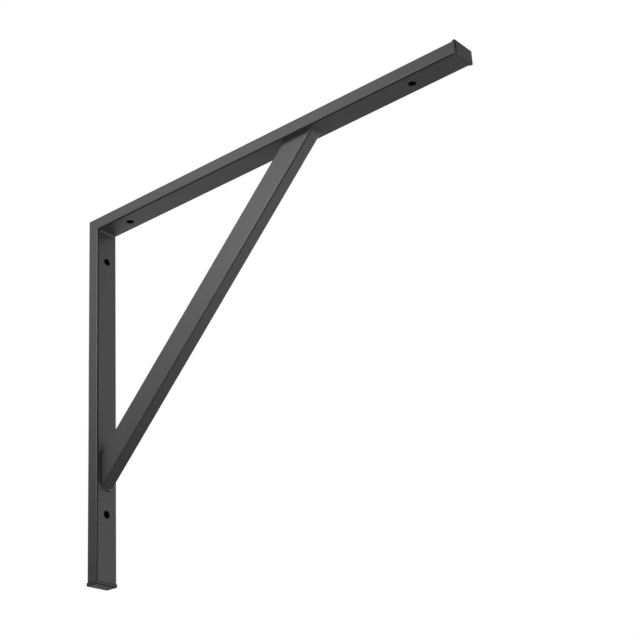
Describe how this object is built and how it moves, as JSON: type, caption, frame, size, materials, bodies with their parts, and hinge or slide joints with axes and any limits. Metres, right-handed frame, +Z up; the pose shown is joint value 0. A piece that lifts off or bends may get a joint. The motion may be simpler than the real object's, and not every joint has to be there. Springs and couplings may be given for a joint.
{
  "type": "heavy-duty shelf bracket",
  "caption": "Welded steel-tube shelf bracket: upright leg and arm mitred at the corner, a diagonal brace set on edge between them, and plastic plugs in the open tube ends.",
  "frame": {"origin": "half-way between the two wall holes, on the wall plane at the back of the upright leg", "axes": "+X out from the wall along the arm, +Y across the bracket's width, +Z up towards the shelf"},
  "size_m": [0.5425, 0.0306, 0.451],
  "materials": {
    "powder_coated_steel": "charcoal grey powder coat, satin, fine orange peel",
    "powder_coated_weld": "the same coat over the weld bead",
    "plug_plastic": "moulded plug, fine matte texture"
  },
  "bodies": {
    "root": {"wall_leg": "powder_coated_steel", "shelf_arm": "powder_coated_steel", "brace": "powder_coated_steel", "corner_weld": "powder_coated_weld", "brace_top_weld": "powder_coated_weld", "brace_foot_weld": "powder_coated_weld", "brace_top_toe_weld": "powder_coated_weld", "brace_foot_toe_weld": "powder_coated_weld", "arm_end_cap": "plug_plastic", "leg_end_cap": "plug_plastic"}
  },
  "joints": []
}
